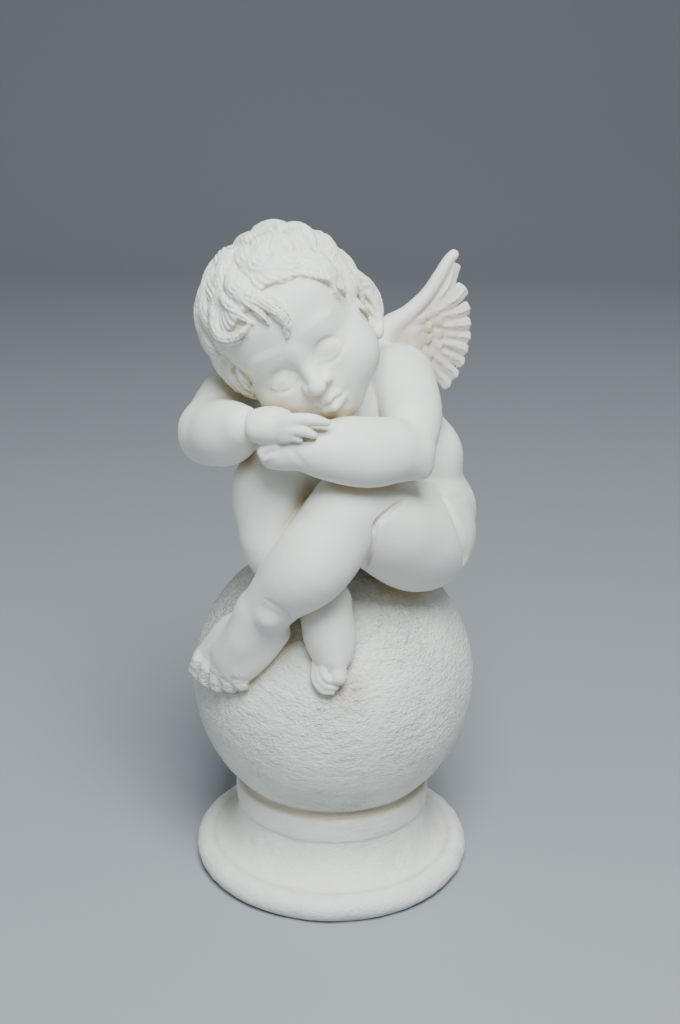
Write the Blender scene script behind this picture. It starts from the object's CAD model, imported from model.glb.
"""The look of the sleeping cherub statue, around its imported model.

The one cast piece is modelled again in finer clay, from the same pose: blocks of signed distances in
millimetres, in the model's own frame, that are blended, cut and then read back as one closed mesh.
"""
import math

import bmesh
import bpy
import numpy as np
from mathutils import Matrix, Vector, noise


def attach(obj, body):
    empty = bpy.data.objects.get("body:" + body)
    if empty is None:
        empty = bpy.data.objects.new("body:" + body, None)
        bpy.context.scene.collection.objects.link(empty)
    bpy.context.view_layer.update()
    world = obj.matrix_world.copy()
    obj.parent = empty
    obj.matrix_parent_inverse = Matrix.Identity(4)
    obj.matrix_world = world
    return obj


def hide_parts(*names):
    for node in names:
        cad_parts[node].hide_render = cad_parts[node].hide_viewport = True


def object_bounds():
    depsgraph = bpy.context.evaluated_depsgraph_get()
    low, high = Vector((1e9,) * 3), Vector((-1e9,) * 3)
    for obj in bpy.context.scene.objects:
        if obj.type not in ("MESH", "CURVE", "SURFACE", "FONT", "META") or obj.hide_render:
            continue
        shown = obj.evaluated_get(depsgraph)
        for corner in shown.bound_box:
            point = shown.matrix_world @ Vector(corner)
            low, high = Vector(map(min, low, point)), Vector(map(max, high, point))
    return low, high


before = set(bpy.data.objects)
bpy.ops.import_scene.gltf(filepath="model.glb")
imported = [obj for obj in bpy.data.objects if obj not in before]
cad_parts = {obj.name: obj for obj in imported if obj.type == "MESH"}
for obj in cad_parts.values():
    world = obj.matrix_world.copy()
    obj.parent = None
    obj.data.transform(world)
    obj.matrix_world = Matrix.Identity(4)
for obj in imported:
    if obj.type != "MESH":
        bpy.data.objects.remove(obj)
CAD_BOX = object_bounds()

NODE = "sleeping_cherub_on_ball"
MM = 0.001
PIECE_TRIANGLES = 190000

# The clay's cells, and the distance that stands for far away, in millimetres
CELL = 0.75
FAR = 14.0

BALL = np.array([0, 0, 119.55])
BALL_RADIUS = 83.0

# How deep the grooves between the strands of hair are, and how long their waves are
STRAND_DEPTH = 2.0
WAVE_LENGTH = 3.6


def unit(vector):
    """The same direction at length one."""
    vector = np.asarray(vector, float)
    return vector / np.linalg.norm(vector)


def turn(axis, degrees):
    """The matrix that turns round an axis."""
    x, y, z = unit(axis)
    angle = math.radians(degrees)
    k = np.array([[0, -z, y], [z, 0, -x], [-y, x, 0]])
    return np.eye(3) + math.sin(angle) * k + (1 - math.cos(angle)) * k @ k


def soft_min(a, b, blend):
    """The lower of two distances, rounded over where they differ by less than blend."""
    if blend <= 0:
        return np.minimum(a, b)
    near = np.maximum(blend - np.abs(a - b), 0)
    return np.minimum(a, b) - near * near / (4 * blend)


def smooth_path(rows, steps):
    """Rows of numbers along a Catmull-Rom curve through the given rows."""
    rows = np.asarray(rows, float)
    if len(rows) == 2:
        share = np.linspace(0, 1, steps + 1)[:, None]
        return rows[0] * (1 - share) + rows[1] * share
    ends = np.vstack([2 * rows[0] - rows[1], rows, 2 * rows[-1] - rows[-2]])
    out = []
    for i in range(len(rows) - 1):
        a, b, c, d = ends[i:i + 4]
        t = np.linspace(0, 1, steps, endpoint=False)[:, None]
        out.append(0.5 * (2 * b + (c - a) * t + (2 * a - 5 * b + 4 * c - d) * t ** 2
                          + (3 * b - a - 3 * c + d) * t ** 3))
    out.append(rows[-1:])
    return np.vstack(out)


class Clay:
    """A block of signed distances, negative inside."""

    def __init__(self, low, high, cell):
        self.cell = float(cell)
        self.low = np.floor(np.asarray(low, float) / cell) * cell
        self.count = np.ceil((np.asarray(high, float) - self.low) / cell).astype(int) + 1
        self.field = np.full(self.count, FAR, np.float32)

    def window(self, low, high):
        """The slices of the block between two corners, and the places of their cells."""
        first = np.maximum(np.floor((np.asarray(low) - self.low) / self.cell).astype(int), 0)
        last = np.minimum(np.ceil((np.asarray(high) - self.low) / self.cell).astype(int) + 1, self.count)
        if (last <= first).any():
            return None, None
        axes = [(self.low[i] + self.cell * np.arange(first[i], last[i])).astype(np.float32) for i in range(3)]
        at = (axes[0][:, None, None], axes[1][None, :, None], axes[2][None, None, :])
        return tuple(slice(a, b) for a, b in zip(first, last)), at

    def each(self, form, blend):
        """Each piece of a form: the slices that it reaches, and its distances there."""
        margin = blend + 2.5 * self.cell
        for low, high, distance in form.pieces():
            where, at = self.window(low - margin, high + margin)
            if where is not None:
                yield where, distance(at)

    def add(self, form, blend=0.0):
        """Joins a form on, rounded over this far where it meets the clay."""
        if len(list(form.pieces())) == 1:
            for where, far in self.each(form, blend):
                self.field[where] = soft_min(self.field[where], far, blend)
            return self
        where, block = self.gathered(form, blend)
        if where is not None:
            self.field[where] = soft_min(self.field[where], block, blend)
        return self

    def cut(self, form, blend=0.0):
        """Takes a form away, with its edges rounded over this far."""
        where, block = self.gathered(form, blend)
        if where is not None:
            self.field[where] = -soft_min(-self.field[where], block, blend)
        return self

    def gathered(self, form, blend):
        """All the pieces of one form in one block, so that they don't swell where they join."""
        margin = blend + 2.5 * self.cell
        pieces = list(form.pieces())
        low = np.min([p[0] for p in pieces], axis=0) - margin
        high = np.max([p[1] for p in pieces], axis=0) + margin
        where, _ = self.window(low, high)
        if where is None:
            return None, None
        block = np.full([s.stop - s.start for s in where], FAR, np.float32)
        for part, far in self.each(form, blend):
            spot = tuple(slice(p.start - w.start, p.stop - w.start) for p, w in zip(part, where))
            block[spot] = np.minimum(block[spot], far)
        return where, block

    def merge(self, other, blend=0.0):
        """Joins another block of the same cell size into this one."""
        offset = np.round((other.low - self.low) / self.cell).astype(int)
        a = np.maximum(offset, 0)
        b = np.minimum(offset + other.count, self.count)
        mine = tuple(slice(i, j) for i, j in zip(a, b))
        theirs = tuple(slice(i - o, j - o) for i, j, o in zip(a, b, offset))
        self.field[mine] = soft_min(self.field[mine], other.field[theirs], blend)
        return self


class Mass:
    """An ellipsoid. axes holds its three directions as rows."""

    def __init__(self, centre, radii, axes=None):
        self.c = np.asarray(centre, np.float32)
        self.r = np.asarray(radii if np.ndim(radii) else [radii] * 3, np.float32)
        self.axes = np.eye(3, dtype=np.float32) if axes is None else np.asarray(axes, np.float32)

    def pieces(self):
        reach = np.sqrt(((self.axes * self.r[:, None]) ** 2).sum(0))
        yield self.c - reach, self.c + reach, self.distance

    def distance(self, at):
        d = [at[i] - self.c[i] for i in range(3)]
        k0 = k1 = 0.0
        for axis, r in zip(self.axes, self.r):
            q = d[0] * axis[0] + d[1] * axis[1] + d[2] * axis[2]
            k0 = k0 + (q / r) ** 2
            k1 = k1 + (q / (r * r)) ** 2
        k0, k1 = np.sqrt(k0), np.sqrt(k1)
        return k0 * (k0 - 1) / np.maximum(k1, 1e-6)


class Limb:
    """A round tapering body along a smooth path."""

    def __init__(self, points, radii, steps=6):
        rows = smooth_path(np.column_stack([np.asarray(points, float), np.asarray(radii, float)]), steps)
        self.p, self.r = rows[:, :3].astype(np.float32), rows[:, 3].astype(np.float32)

    def pieces(self):
        for a, b, ra, rb in zip(self.p[:-1], self.p[1:], self.r[:-1], self.r[1:]):
            r = max(ra, rb)

            def distance(at, a=a, b=b, ra=float(ra), rb=float(rb)):
                length = float(np.linalg.norm(b - a))
                way = (b - a) / max(length, 1e-6)
                slope = (ra - rb) / max(length, 1e-6)
                off = [at[i] - a[i] for i in range(3)]
                along = off[0] * way[0] + off[1] * way[1] + off[2] * way[2]
                square = off[0] ** 2 + off[1] ** 2 + off[2] ** 2
                start = np.sqrt(square) - ra
                if abs(slope) >= 0.99:
                    return np.minimum(start, np.sqrt(square - 2 * along * length + length ** 2) - rb)
                across = np.sqrt(np.maximum(square - along ** 2, 0))
                flank = math.sqrt(1 - slope ** 2)
                reach = along * flank - across * slope
                end = np.sqrt(across ** 2 + (along - length) ** 2) - rb
                middle = across * flank + along * slope - ra
                return np.where(reach < 0, start, np.where(reach > flank * length, end, middle))

            yield np.minimum(a, b) - r, np.maximum(a, b) + r, distance


class Ribbon:
    """A flattened tapering body along a smooth path, with its thin side along ups."""

    def __init__(self, points, widths, thicks, ups, steps=6):
        ups = np.asarray(ups, float) * np.ones((len(points), 3))
        rows = smooth_path(np.column_stack([points, widths, thicks, ups]), steps).astype(np.float32)
        self.p, self.w, self.t, self.up = rows[:, :3], rows[:, 3], rows[:, 4], rows[:, 5:8]

    def grooves(self, i, along, across):
        """How much lower the skin is, this share along piece i and this share across. A ribbon is plain."""
        return 0.0

    def pieces(self):
        for i in range(len(self.p) - 1):
            a, b = self.p[i], self.p[i + 1]
            ab = b - a
            length = max(float(np.linalg.norm(ab)), 1e-6)
            tangent = ab / length
            n = self.up[i] - tangent * float(self.up[i] @ tangent)
            n = n / max(float(np.linalg.norm(n)), 1e-6)
            side = np.cross(tangent, n)
            r = max(self.w[i], self.w[i + 1], self.t[i], self.t[i + 1])

            def distance(at, i=i, a=a, ab=ab, length=length, tangent=tangent, n=n, side=side):
                off = [at[k] - a[k] for k in range(3)]
                along = np.clip(sum(off[k] * ab[k] for k in range(3)) / length ** 2, 0, 1)
                off = [off[k] - along * ab[k] for k in range(3)]
                dt = sum(off[k] * tangent[k] for k in range(3))
                ds = sum(off[k] * side[k] for k in range(3))
                dn = sum(off[k] * n[k] for k in range(3))
                w = self.w[i] + along * (self.w[i + 1] - self.w[i])
                t = self.t[i] + along * (self.t[i + 1] - self.t[i])
                k0 = np.sqrt((dt / t) ** 2 + (ds / w) ** 2 + (dn / t) ** 2)
                k1 = np.sqrt((dt / t ** 2) ** 2 + (ds / w ** 2) ** 2 + (dn / t ** 2) ** 2)
                body = k0 * (k0 - 1) / np.maximum(k1, 1e-4)
                return body + self.grooves(i, along, ds / w)

            yield np.minimum(a, b) - r, np.maximum(a, b) + r, distance


class Lock(Ribbon):
    """A ribbon combed into this many rounded strands, with sharp grooves of this depth between them."""

    def __init__(self, path, out, widths, thicks, count, depth, wave, phase):
        self.p, self.up = np.asarray(path, np.float32), np.asarray(out, np.float32)
        self.w, self.t = np.asarray(widths, np.float32), np.asarray(thicks, np.float32)
        self.run = np.concatenate([[0], np.cumsum(np.linalg.norm(np.diff(self.p, axis=0), axis=1))])
        self.count, self.depth, self.wave, self.phase = count, depth, wave, phase

    def grooves(self, i, along, across):
        run = self.run[i] + along * (self.run[i + 1] - self.run[i])
        width = self.w[i] + along * (self.w[i + 1] - self.w[i])
        place = self.count * (0.5 + 0.5 * across) + self.wave * np.sin(run / WAVE_LENGTH + self.phase)
        ridge = np.abs(np.sin(math.pi * place))
        return self.depth * np.minimum(1, 0.35 * width) * (1 - ridge)


def surface(clay):
    """Surface nets: one point in each cell that the surface crosses, one quad across each crossed edge."""
    s = clay.field
    inside = s < 0
    c = inside.view(np.uint8)
    total = np.zeros(np.array(s.shape) - 1, np.uint8)
    corners = [(i, j, k) for i in (0, 1) for j in (0, 1) for k in (0, 1)]
    for i, j, k in corners:
        total += c[i:i + s.shape[0] - 1, j:j + s.shape[1] - 1, k:k + s.shape[2] - 1]
    cell = np.argwhere((total > 0) & (total < 8))
    index = np.full(total.shape, -1, np.int32)
    index[tuple(cell.T)] = np.arange(len(cell))
    value = {o: s[tuple((cell + o).T)] for o in corners}
    place = np.zeros((len(cell), 3))
    found = np.zeros(len(cell))
    for a in corners:
        for axis in range(3):
            if a[axis]:
                continue
            b = tuple(a[i] + (i == axis) for i in range(3))
            va, vb = value[a], value[b]
            crosses = (va < 0) != (vb < 0)
            share = np.where(crosses, va / np.where(crosses, va - vb, 1), 0)
            point = np.array(a, float)[None, :] + share[:, None] * (np.array(b) - np.array(a))[None, :]
            place += np.where(crosses[:, None], point, 0)
            found += crosses
    points = clay.low + clay.cell * (cell + place / found[:, None])
    quads = []
    for axis in range(3):
        u, v = (axis + 1) % 3, (axis + 2) % 3
        lo = [slice(None)] * 3
        hi = [slice(None)] * 3
        lo[axis], hi[axis] = slice(0, -1), slice(1, None)
        a, b = inside[tuple(lo)], inside[tuple(hi)]
        edges = np.argwhere(a != b)
        edges = edges[(edges[:, u] > 0) & (edges[:, v] > 0)]
        inner_first = a[tuple(edges.T)]
        du, dv = np.zeros(3, int), np.zeros(3, int)
        du[u], dv[v] = 1, 1
        q = np.stack([index[tuple((edges - du - dv).T)], index[tuple((edges - dv).T)],
                      index[tuple(edges.T)], index[tuple((edges - du).T)]], 1)
        quads.append(np.where(inner_first[:, None], q, q[:, ::-1]))
    return points, np.vstack(quads)


# The lowest and highest corners of the clay that the legs, the arms and the head are made in
LEGS_BOX = (-102, -125, 125), (95, 70, 300)
ARMS_BOX = (-110, -125, 240), (85, 40, 335)
HEAD_BOX = (-102, -125, 270), (50, 40, 405)

# The body faces a little to its right
LEFT = np.array([math.cos(math.radians(-20)), math.sin(math.radians(-20)), 0])
BACK = np.array([-LEFT[1], LEFT[0], 0])
UP = np.array([0, 0, 1.0])
BODY = np.array([LEFT, BACK, UP])

# The head's left, up and front
FACING = unit([0.035, -0.965, 0.26])
LEVEL = unit(np.cross([0, 0, 1], FACING))
ROLL = turn(FACING, 37)
HEAD_LEFT = ROLL @ LEVEL
NOD = turn(HEAD_LEFT, 14)
HEAD_UP = NOD @ (ROLL @ np.cross(FACING, LEVEL))
HEAD_FRONT = NOD @ FACING
HEAD_AXES = np.array([HEAD_LEFT, HEAD_UP, HEAD_FRONT])
HEAD = np.array([-23.5, -50, 342.5])

# The face is turned a little further to the right and down than the hair
FACE_TURN = turn(HEAD_UP, -12)
FACE_NOD = turn(FACE_TURN @ HEAD_LEFT, 6)
FACE_LEFT = FACE_NOD @ FACE_TURN @ HEAD_LEFT
FACE_UP = FACE_NOD @ FACE_TURN @ HEAD_UP
FACE_FRONT = FACE_NOD @ FACE_TURN @ HEAD_FRONT
FACE_AXES = np.array([FACE_LEFT, FACE_UP, FACE_FRONT])


def head(left, up, front):
    """A place in the head's own directions, from its middle."""
    return HEAD + left * HEAD_LEFT + up * HEAD_UP + front * HEAD_FRONT


def face(left, up, front):
    """A place in the face's own directions, from the middle of the head."""
    return HEAD + left * FACE_LEFT + up * FACE_UP + front * FACE_FRONT


def trunk(cell):
    """Seat, belly, chest, back and shoulders."""
    clay = Clay((-75, -65, 185), (100, 75, 342), cell)
    for centre, radii in (((20, 20, 226), (41, 33, 31)), ((48, 9, 221), (33, 33, 29)),
                          ((-7, 28, 221), (33, 32, 29)), ((29, 12, 254), (44, 32, 32)),
                          ((14, 4, 284), (45, 31, 34)), ((2, -22, 258), (36, 27, 26)),
                          ((0, -22, 284), (36, 25, 24))):
        clay.add(Mass(centre, radii, BODY), 10)
    clay.add(Limb([(14, 4, 290), (33, -12, 303)], [26, 19]), 10)
    clay.add(Limb([(4, 6, 292), (-38, 8, 303)], [26, 18]), 10)
    clay.add(Limb([(0, 0, 300), (-14, -24, 322)], [22, 20]), 10)
    # the furrow of the spine, the shoulder blades and the cleft of the seat
    clay.cut(Limb([(3, 42, 306), (15, 47, 280), (24, 50, 255), (24, 58, 238)], [2.5, 3, 3, 2]), 9)
    for side in (1, -1):
        clay.add(Mass(np.array([8, 34, 288]) + LEFT * 19 * side, (11, 5, 16), BODY), 9)
    clay.cut(Limb([(21, 60, 240), (20, 62, 224), (18, 56, 206)], [1.2, 2.2, 2.2]), 7)
    # a fold at the right side of the waist
    clay.cut(Limb([(-28, 24, 256), (-24, 38, 254), (-10, 47, 252)], [0.4, 0.9, 0.3]), 3)
    return clay


def legs(cell):
    """The right leg stands on the ball, and the left one crosses over it."""
    right, left, calf = Clay(*LEGS_BOX, cell), Clay(*LEGS_BOX, cell), Clay(*LEGS_BOX, cell)
    right.add(Limb([(-6, 24, 222), (-22, -20, 236), (-34, -55, 250)], [31, 27, 21]), 0)
    right.add(Limb([(-33, -56, 252), (-31, -60, 226), (-18, -56, 206), (-6, -61, 192)],
                   [20, 19, 16, 13.5]), 5)
    right.add(Mass((-35, -62, 262), (18, 15, 17)), 6)
    left.add(Limb([(46, 8, 221), (46, -26, 218), (28, -56, 234), (8, -72, 250)], [32, 31, 26, 21]), 0)
    calf.add(Limb([(6, -74, 249), (-12, -83, 224), (-28, -75, 204), (-39, -67, 186)],
                  [21, 21.5, 16.5, 13.5]), 0)
    calf.add(Mass((0, -84, 252), (15, 10, 14)), 6)
    left.merge(calf, 1.5)
    # the bend of the knee, where the thigh rests on the calf
    left.cut(Limb([(38, -69, 257.5), (34.3, -74.5, 256), (29, -81.3, 254), (22.8, -87.4, 250.3),
                   (19.9, -88.6, 247.5), (20.3, -89.3, 243), (20, -88.3, 238), (18.1, -85.7, 231),
                   (16.3, -79.5, 223), (15, -70, 213)],
                  [0.3, 0.9, 1.4, 1.8, 1.9, 1.5, 1.3, 1.3, 1.4, 1.2]), 1.3)
    right_foot(right)
    left_foot(left)
    return right.merge(left, 1.2)


def sole(start, end, wide, tall, facing):
    """A flat oval body from the ankle to the toes, facing out from the ball."""
    start, end = np.array(start, float), np.array(end, float)
    along = unit(end - start)
    up = unit(facing - along * (facing @ along))
    return Mass((start + end) / 2, (np.linalg.norm(end - start) / 2 + 3, wide, tall),
                np.array([along, np.cross(up, along), up]))


# The left foot's toes from the big one: where each stub starts, where it ends, and its half width
STUBS = (((-73.5, -44.0, 149), (-75.8, -41.5, 141.5), 6.0),
         ((-68.5, -51.0, 148), (-70.5, -49.0, 139.5), 5.2),
         ((-62.5, -57.0, 148), (-63.5, -56.0, 140.5), 5.5),
         ((-56.5, -62.0, 149), (-56.6, -61.4, 142), 5.0),
         ((-51.0, -65.8, 151), (-50.4, -65.6, 145), 4.8))


def left_foot(clay):
    """Pointed down along the ball, at the viewer's left. Its toes are worn, rough stubs."""
    facing = unit([-0.62, -0.7, 0.35])
    foot = Clay((-102, -125, 125), (20, 0, 215), clay.cell)
    foot.add(Limb([(-39, -67, 188), (-46, -64, 172), (-54, -58, 158)], [14.5, 13.5, 11]), 0)
    foot.add(sole((-44, -62, 178), (-66, -50, 146), 17.5, 9, facing), 6)
    foot.add(Limb([(-30, -66, 176), (-38, -67, 165), (-47, -66, 154)], [6.5, 6.5, 5.5]), 6)
    foot.add(Limb([(-52, -50, 172), (-64, -46, 160), (-72, -42, 152)], [7, 6.5, 5.5]), 6)
    for root, tip, size in STUBS:
        foot.add(Limb([root, tip], [size, size * 0.92]), 1.8)
    clay.merge(foot, 4)
    # the heel is a rounded corner between two folds
    clay.add(Mass((-31.5, -81.3, 195), (11.5, 9.3, 8.6), turn((0, 1, 0), 35)), 2.5)
    clay.cut(Limb([(-36, -90.5, 206.5), (-33, -93.5, 205.8), (-30, -95.0, 204.3), (-26.5, -95.2, 202),
                   (-23, -92.4, 198), (-21.5, -88.0, 194)], [0.3, 1.0, 1.4, 1.5, 1.3, 0.8]), 0.9)
    clay.cut(Limb([(-42.5, -86, 202), (-42.5, -87.5, 197), (-40, -88.4, 191.5), (-36.5, -88, 187)],
                  [0.3, 1.0, 1.3, 0.6]), 0.9)


def right_foot(clay):
    """Pointed down between the left shin and the ball, with small toes that curl under the big one."""
    facing = unit([-0.03, -0.81, 0.58])
    foot = Clay((-60, -125, 125), (60, 0, 215), clay.cell)
    foot.add(Limb([(-5, -61, 192), (-3, -69, 179), (0, -74, 168)], [14.5, 13, 9.5]), 0)
    foot.add(sole((-4, -60, 190), (0, -75, 162), 13.5, 8, facing), 5)
    foot.add(Limb([(1.5, -76.5, 170), (2.8, -79.5, 162), (3.0, -81.2, 157.5)], [5.2, 4.2, 4.6]), 2)
    small = ((2.5, (-4, -75, 167), (-5.2, -80.2, 160.5), (-2.6, -82.2, 156.6), (1.8, -82, 155.2)),
             (2.4, (-7, -74, 164), (-7.4, -79.5, 157), (-3.8, -82, 152.8), (1.6, -82.2, 151.8)),
             (2.3, (-9.5, -73, 162), (-9.6, -78.4, 154.4), (-5.4, -81.4, 149.8), (-0.2, -82, 149)))
    for size, *points in small:
        foot.add(Limb(points, [size, size, size * 0.95, size * 0.7], 4), 0.5)
    clay.merge(foot, 3)
    clay.cut(Limb([(-19, -78, 193), (-12, -79.5, 195), (-5, -78, 195)], [0.4, 0.8, 0.3]), 2)


def arms(cell):
    """The arms are crossed on the knees, the right hand on the left wrist."""
    left, right = Clay(*ARMS_BOX, cell), Clay(*ARMS_BOX, cell)
    left.add(Limb([(33, -12, 303), (39, -44, 293), (37, -69, 281)], [20.5, 16.5, 13]), 0)
    left.add(Limb([(37, -70, 281), (16, -85, 284), (-6, -90, 288), (-18, -93, 290)],
                  [13.5, 16.5, 14.5, 9.5]), 3)
    left.add(Limb([(26, -76, 287), (8, -85, 290)], [13, 12.5]), 8)
    left.add(Limb([(34, -73, 280), (43.5, -72.5, 273.5)], [11.5, 6.0]), 4)
    # the hand hangs over the knee, its thumb curled
    left.add(Limb([(-14, -92, 289), (-24, -92, 287), (-31, -90, 285)], [9.5, 9.0, 7.5]), 3)
    left.cut(Limb([(-22.5, -102.5, 293), (-19, -103.5, 287.5), (-13.5, -103, 281)], [0.4, 0.9, 0.4]), 2.2)
    left.add(Limb([(-27, -95, 291.5), (-32.5, -96, 291.5), (-36.5, -96, 289), (-35.8, -96.2, 285.5)],
                  [3.8, 3.1, 2.8, 2.4]), 1.0)
    left.add(Limb([(-28, -96.5, 287), (-32, -97, 287), (-34, -96.4, 285.6)], [2.8, 2.2, 1.8]), 0.8)
    right.add(Limb([(-38, 8, 303), (-56, -24, 297), (-66, -53, 285)], [19, 17, 16.5]), 0)
    right.add(Limb([(-66, -53, 285), (-57, -70, 290), (-48, -85, 298)], [16.5, 17, 11]), 5)
    right.add(Mass((-33.5, -92.5, 301), (14.5, 10.5, 9.6), turn((0, 1, 0), 4)), 2)
    right.cut(Limb([(-43.5, -86, 309.5), (-44.8, -90.5, 307.3), (-45.8, -94.5, 305), (-45.8, -97, 301.5),
                    (-44.2, -96.7, 295.8), (-42, -93, 291.5)], [0.4, 1.0, 1.2, 1.2, 1.0, 0.5]), 1.6)
    # two fingers lie along the forearm, and the others fold under
    right.add(Limb([(-26, -99, 304.5), (-18, -101.5, 307), (-11, -102, 307), (-4.5, -101, 305.4)],
                   [4.4, 3.4, 3.0, 1.8]), 1.5)
    right.add(Limb([(-26, -99.5, 300.5), (-20, -102.5, 302), (-15, -103.5, 301.4), (-11, -102.8, 299.5)],
                   [4.0, 3.0, 2.7, 1.9]), 1.2)
    right.add(Limb([(-26, -99.5, 297.5), (-21.5, -102, 298.2), (-18, -102.5, 297)], [3.4, 2.4, 1.8]), 1.0)
    return left.merge(right, 0.8)


# The skull, the middle of the face and the forehead: middle, radii and axes
SKULL = ((head(0, 5, -6), (36, 37, 39), HEAD_AXES), (face(0, -14, 9), (33, 33, 30), FACE_AXES),
         (face(0, 13, 13), (33, 26, 27.5), FACE_AXES))


def probe(clay):
    """A function that gives how far to the front the head's surface lies at a place in the face."""
    finest = 0.3
    depths = np.arange(58, 8, -finest)
    field, low, step = clay.field, clay.low, clay.cell

    def front(left, up):
        line = HEAD + left * FACE_LEFT + up * FACE_UP + depths[:, None] * FACE_FRONT
        at = (line - low) / step
        base = np.floor(at).astype(int)
        part = at - base
        value = np.zeros(len(line))
        for corner in ((i, j, k) for i in (0, 1) for j in (0, 1) for k in (0, 1)):
            weight = np.prod([part[:, n] if corner[n] else 1 - part[:, n] for n in range(3)], axis=0)
            value += weight * field[tuple((base + corner).T)]
        hit = int(np.argmax(value < 0))
        share = value[hit - 1] / (value[hit - 1] - value[hit])
        return depths[hit - 1] - finest * share

    return front


def laid(front, points, rise=0.0):
    """Pose points on the face, at these lefts and heights, this far over its surface."""
    return [face(left, up, front(left, up) + rise) for left, up in points]


def head_clay(cell):
    """The skull and a calm, sleeping face of plain proportions."""
    clay = Clay(*HEAD_BOX, cell)
    for middle, radii, axes in SKULL:
        clay.add(Mass(middle, radii, axes), 8)
    clay.add(Mass(face(0, -37, 24), (14, 12, 13), FACE_AXES), 10)
    clay.add(Mass(face(0, -28, 30), (14, 11, 12), FACE_AXES), 8)
    for side in (-1, 1):
        clay.add(Mass(face(17.5 * side, -22, 21.5), (16, 15.5, 16.5), FACE_AXES), 9)
        clay.add(Mass(face(11 * side, 1.5, 29), (11, 5, 7), FACE_AXES), 10)
        clay.cut(Mass(face(13.2 * side, -7.5, 48.2), (9.5, 5.5, 8.2), FACE_AXES), 8)
    front = probe(clay)
    # nose
    clay.add(Limb([face(0, up, front(0, up) + rise) for up, rise in ((0, -3.5), (-8, -0.6), (-15, 2.6))],
                  [4.0, 3.2, 3.8]), 5)
    clay.add(Mass(face(0, -17.6, front(0, -17.6) + 3.2), (4.7, 4.2, 4.4), FACE_AXES), 2.5)
    for side in (-1, 1):
        clay.add(Mass(face(5.2 * side, -18.8, front(5.2, -18.8) + 0.2), (3.3, 3.0, 4.2), FACE_AXES), 2.5)
    front = probe(clay)
    for side in (-1, 1):
        clay.cut(Mass(face(2.5 * side, -21.9, front(2.5, -20.6) - 1.2), (1.3, 1.1, 1.8), FACE_AXES), 1.0)
        clay.cut(Limb(laid(front, [(8.2 * side, -16.6), (8.9 * side, -19.2), (8.2 * side, -21.6)], 0.3),
                      [0.2, 0.35, 0.2]), 1.3)
        # a closed lid over the ball of the eye
        eye = face(13.6 * side, -9.8, front(13.6 * side, -9.8) - 6.4)
        clay.add(Mass(eye, (9.6, 6.8, 8.4), FACE_AXES), 1.8)
    front = probe(clay)
    for side in (-1, 1):
        spread = np.linspace(0, 1, 9)
        ends = [(side * (5.4 + 16.8 * t), -11.4 - 3.3 * math.sin(math.pi * t) + 1.0 * t) for t in spread]
        swell = np.sin(math.pi * np.clip(spread, 0.06, 0.94))
        clay.cut(Limb(laid(front, ends, 0.1), 0.2 + 0.45 * swell, 2), 0.8)
        upper = [(left, up + 1.15) for left, up in ends]
        clay.add(Limb(laid(front, upper, -0.25), 0.25 + 0.75 * swell, 2), 0.9)
        below = [(left, up - 2.6) for left, up in ends[1:-1]]
        clay.add(Limb(laid(front, below, -1.2), 0.4 + 0.8 * swell[1:-1], 2), 2.5)
        fold = [(side * (5.2 + 17.6 * t), -9.6 + 6.6 * math.sin(math.pi * (t ** 0.9)) ** 0.9) for t in spread]
        clay.cut(Limb(laid(front, fold, 0.2), 0.2 + 0.5 * swell, 2), 1.6)
        brow = [(side * (7 + 16 * t), 2.6 + 4.0 * math.sin(math.pi * (0.3 + 0.5 * t)))
                for t in np.linspace(0, 1, 6)]
        clay.add(Limb(laid(front, brow, -1.7), [0.7, 1.0, 1.2, 1.2, 1.0, 0.7], 2), 3.5)
    lips(clay)
    ears(clay)
    return clay


def lips(clay):
    """Closed lips with a bowed upper edge, a small dent over them and a crease under them."""
    front = probe(clay)
    for side in (-1, 1):
        upper = (0, -28.2), (2.6 * side, -27.7), (5.4 * side, -28.8), (8.2 * side, -30.6)
        clay.add(Limb(laid(front, upper, -0.7), [1.9, 2.2, 1.7, 0.7]), 1.5)
        lower = (0, -33.2), (3.0 * side, -33.0), (5.6 * side, -32.2), (8.0 * side, -30.9)
        clay.add(Limb(laid(front, lower, -0.7), [2.5, 2.4, 1.7, 0.7]), 1.5)
        corner = face(9.2 * side, -30.8, front(9.2 * side, -30.8) + 0.4)
        clay.cut(Mass(corner, (1.2, 1.5, 1.3), FACE_AXES), 2.6)
    front = probe(clay)
    seam = [(-8.4, -30.7), (-5, -30.4), (-2.2, -30.0), (0, -30.8), (2.2, -30.0), (5, -30.4), (8.4, -30.7)]
    clay.cut(Limb(laid(front, seam, 0.15), [0.2, 0.45, 0.5, 0.5, 0.5, 0.45, 0.2], 3), 1.0)
    clay.cut(Limb(laid(front, [(0, -22.8), (0, -25.4)], 0.5), [0.5, 0.7]), 1.6)
    clay.cut(Limb(laid(front, [(-4.5, -37.2), (0, -37.6), (4.5, -37.2)], 0.5), [0.5, 1.0, 0.5]), 3.5)


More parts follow.
